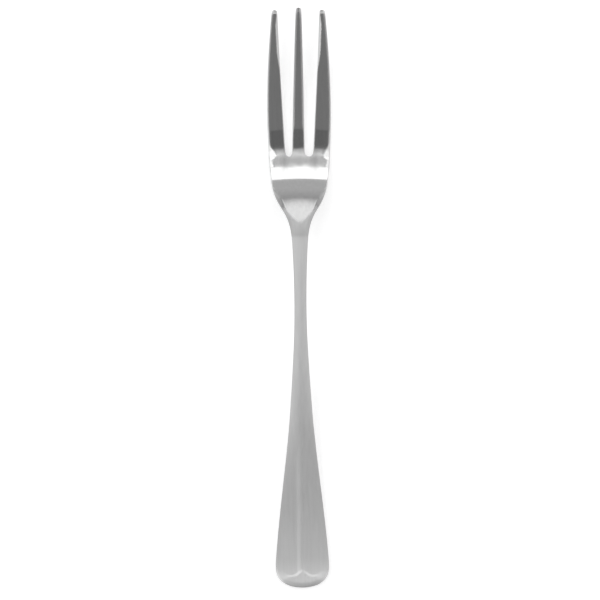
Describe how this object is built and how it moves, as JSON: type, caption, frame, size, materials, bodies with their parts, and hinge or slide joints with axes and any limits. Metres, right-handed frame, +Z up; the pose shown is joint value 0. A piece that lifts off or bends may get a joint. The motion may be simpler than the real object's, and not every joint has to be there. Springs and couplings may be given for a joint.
{
  "type": "salad fork",
  "caption": "One-piece polished steel salad fork with slender tapered tines, a narrow waist and a flat, widening handle with a centre rib and rounded end.",
  "frame": {"origin": "on the table the fork lies on, under the middle of its length and on its centre line", "axes": "+Y along the fork towards the tine tips, +X across it, +Z up from the table, with the hollow side of the head facing up"},
  "size_m": [0.0198, 0.18, 0.013],
  "materials": {
    "stainless_steel": "mirror-polished head and tines, softer satin handle"
  },
  "bodies": {
    "root": {"tine_left": "stainless_steel", "tine_centre": "stainless_steel", "tine_right": "stainless_steel", "palm": "stainless_steel", "neck": "stainless_steel", "stem": "stainless_steel", "handle": "stainless_steel", "handle_end": "stainless_steel"}
  },
  "joints": []
}
